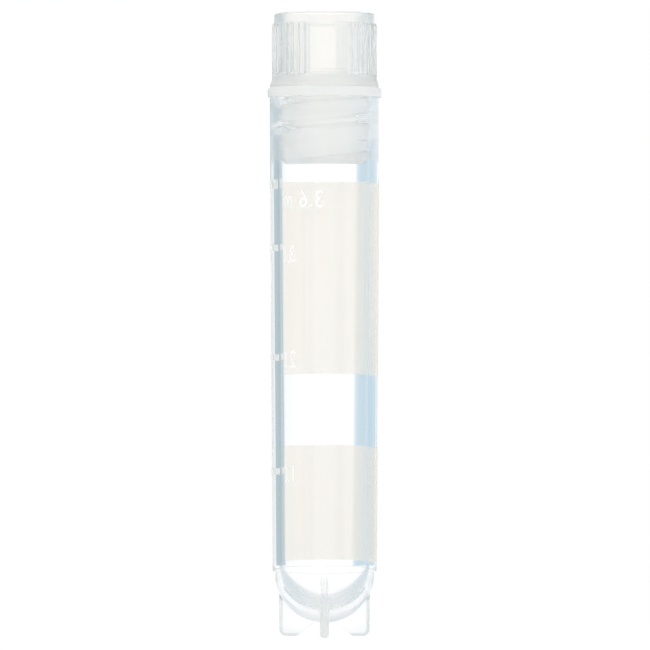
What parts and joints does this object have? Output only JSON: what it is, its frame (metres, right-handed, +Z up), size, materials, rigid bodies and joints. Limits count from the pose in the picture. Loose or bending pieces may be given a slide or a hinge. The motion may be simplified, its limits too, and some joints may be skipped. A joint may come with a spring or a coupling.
{
  "type": "cryovial",
  "caption": "Self-standing screw-cap cryogenic vial: clear round-bottomed tube on a star foot, ribbed cap with a threaded plug, sealing ring and printed writing panels.",
  "frame": {"origin": "on the vial's axis, in the plane that the foot stands on", "axes": "+Z up the vial's axis from foot to cap; the scale marks are on the -X side and the writing panels wrap the +Y side"},
  "size_m": [0.013, 0.013, 0.071],
  "materials": {
    "clear_polypropylene": "clear natural polypropylene, polished by the mould",
    "natural_polypropylene": "translucent, faintly milky natural polypropylene",
    "silicone": "translucent silicone, satin",
    "white_ink": "matte white printing ink"
  },
  "bodies": {
    "tube": {"tube": "clear_polypropylene", "writing_panel_upper": "white_ink", "writing_panel_lower": "white_ink", "scale_marks": "white_ink"},
    "gasket": {"gasket": "silicone"},
    "cap": {"cap": "natural_polypropylene"}
  },
  "joints": [
    {"name": "cap_lift", "type": "slide", "parent": "tube", "child": "gasket", "axis": [0, 0, 1], "range_m": [0, 0.00915]},
    {"name": "cap_turn", "type": "hinge", "parent": "gasket", "child": "cap", "pos_m": [0, 0, 0.0625], "axis": [0, 0, 1], "range_deg": [0, 1080]}
  ],
  "couplings": [
    {"joint": "cap_turn", "follows": "cap_lift", "rad_per_m": 2060.1}
  ]
}
